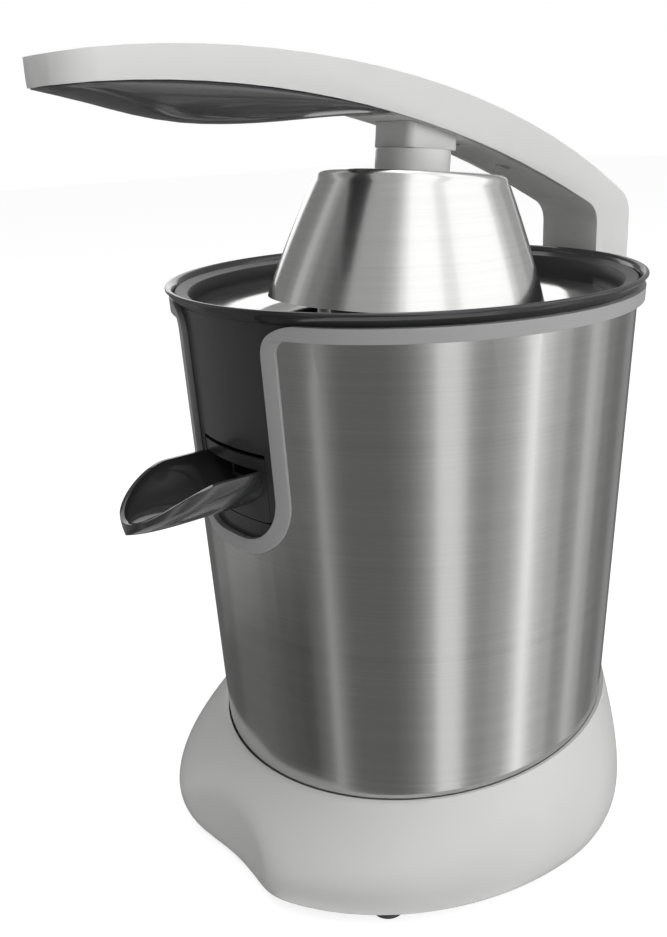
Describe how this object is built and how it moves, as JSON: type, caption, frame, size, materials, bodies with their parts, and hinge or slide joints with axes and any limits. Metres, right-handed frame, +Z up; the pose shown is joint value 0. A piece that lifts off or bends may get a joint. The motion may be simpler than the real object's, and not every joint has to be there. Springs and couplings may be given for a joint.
{
  "type": "citrus juicer",
  "caption": "Electric citrus juicer: a round steel body on a grey base, with a sieve bowl, a pouring spout and a hinged lever that presses fruit under a steel dome.",
  "frame": {"origin": "on the table, under the axis of the round body", "axes": "+Z up, -Y towards the spout and the handle's tip, +X to the right seen from the front"},
  "size_m": [0.188, 0.2625, 0.3086],
  "materials": {
    "shell_plastic": "light grey moulded plastic, satin",
    "trim_plastic": "mid grey plastic",
    "black_plastic": "glossy black plastic",
    "inner_plastic": "black plastic",
    "brushed_steel": "brushed sheet steel",
    "polished_steel": "polished steel",
    "plain_steel": "plain steel",
    "rubber": "black rubber",
    "gear_plastic": "white engineering plastic",
    "bronze": "sintered bronze",
    "case_plastic": "dark grey plastic",
    "motor_steel": "zinc-plated steel can",
    "switch_plastic": "dark red plastic"
  },
  "bodies": {
    "stand": {"base_shell": "shell_plastic", "base_plate": "inner_plastic", "feet": "rubber", "base_screws": "plain_steel", "cord_grommet": "rubber", "steel_body": "brushed_steel", "trim_band": "trim_plastic", "inner_housing": "inner_plastic", "motor_housing": "inner_plastic", "shaft_hub": "inner_plastic", "top_ring": "black_plastic", "rear_pillar": "shell_plastic", "pillar_screws": "plain_steel", "hinge_pin": "plain_steel", "juice_bowl": "inner_plastic", "sieve": "polished_steel", "sieve_plate": "polished_steel", "spout_pin": "plain_steel", "return_spring": "plain_steel", "shaft_bush": "bronze", "shaft_seal": "rubber", "gearbox_case": "case_plastic", "gearbox_cover": "case_plastic", "gearbox_screws": "plain_steel", "idler_pin": "plain_steel", "motor": "motor_steel", "motor_screws": "plain_steel", "switch_bracket": "plain_steel", "micro_switch": "switch_plastic"},
    "lever": {"lever_arm": "shell_plastic", "arm_cover": "shell_plastic", "arm_screws": "plain_steel", "grip": "black_plastic", "neck": "shell_plastic", "neck_collar": "shell_plastic", "press_dome": "polished_steel", "dome_liner": "inner_plastic", "dome_screw": "plain_steel"},
    "pouring_spout": {"spout": "black_plastic"},
    "press_carriage": {"thrust_washer": "plain_steel"},
    "reamer": {"reamer_cone": "inner_plastic", "drive_shaft": "plain_steel"},
    "output_wheel": {"output_gear": "gear_plastic"},
    "idler_wheel": {"idler_gear": "gear_plastic"},
    "motor_rotor": {"motor_pinion": "bronze", "motor_shaft": "plain_steel"},
    "switch_button": {"switch_plunger": "gear_plastic"}
  },
  "joints": [
    {"name": "lever_hinge", "type": "hinge", "parent": "stand", "child": "lever", "pos_m": [0, 0.11, 0.2086], "axis": [-1, 0, 0], "range_deg": [0, 74]},
    {"name": "spout_tilt", "type": "hinge", "parent": "stand", "child": "pouring_spout", "pos_m": [0, -0.07434, 0.155], "axis": [-1, 0, 0], "range_deg": [0, 20]},
    {"name": "reamer_press", "type": "slide", "parent": "stand", "child": "press_carriage", "axis": [0, 0, -1], "range_m": [0, 0.002], "stiffness_N_per_m": 2000, "springref_m": -0.003, "deforming": ["return_spring"]},
    {"name": "reamer_spin", "type": "hinge", "parent": "press_carriage", "child": "reamer", "pos_m": [0, 0, 0.2065], "axis": [0, 0, 1], "continuous": true},
    {"name": "output_spin", "type": "hinge", "parent": "stand", "child": "output_wheel", "pos_m": [0, 0, 0.13], "axis": [0, 0, 1], "continuous": true},
    {"name": "idler_spin", "type": "hinge", "parent": "stand", "child": "idler_wheel", "pos_m": [0.0198, 0.0198, 0.125], "axis": [0, 0, 1], "continuous": true},
    {"name": "motor_spin", "type": "hinge", "parent": "stand", "child": "motor_rotor", "pos_m": [0, 0.0396, 0.12], "axis": [0, 0, 1], "continuous": true},
    {"name": "switch_press", "type": "slide", "parent": "stand", "child": "switch_button", "axis": [0, 0, -1], "range_m": [0, 0.002]}
  ],
  "couplings": [
    {"joint": "output_spin", "follows": "reamer_spin", "ratio": 1},
    {"joint": "idler_spin", "follows": "reamer_spin", "ratio": -3},
    {"joint": "motor_spin", "follows": "reamer_spin", "ratio": 9},
    {"joint": "switch_press", "follows": "reamer_press", "ratio": 1}
  ]
}
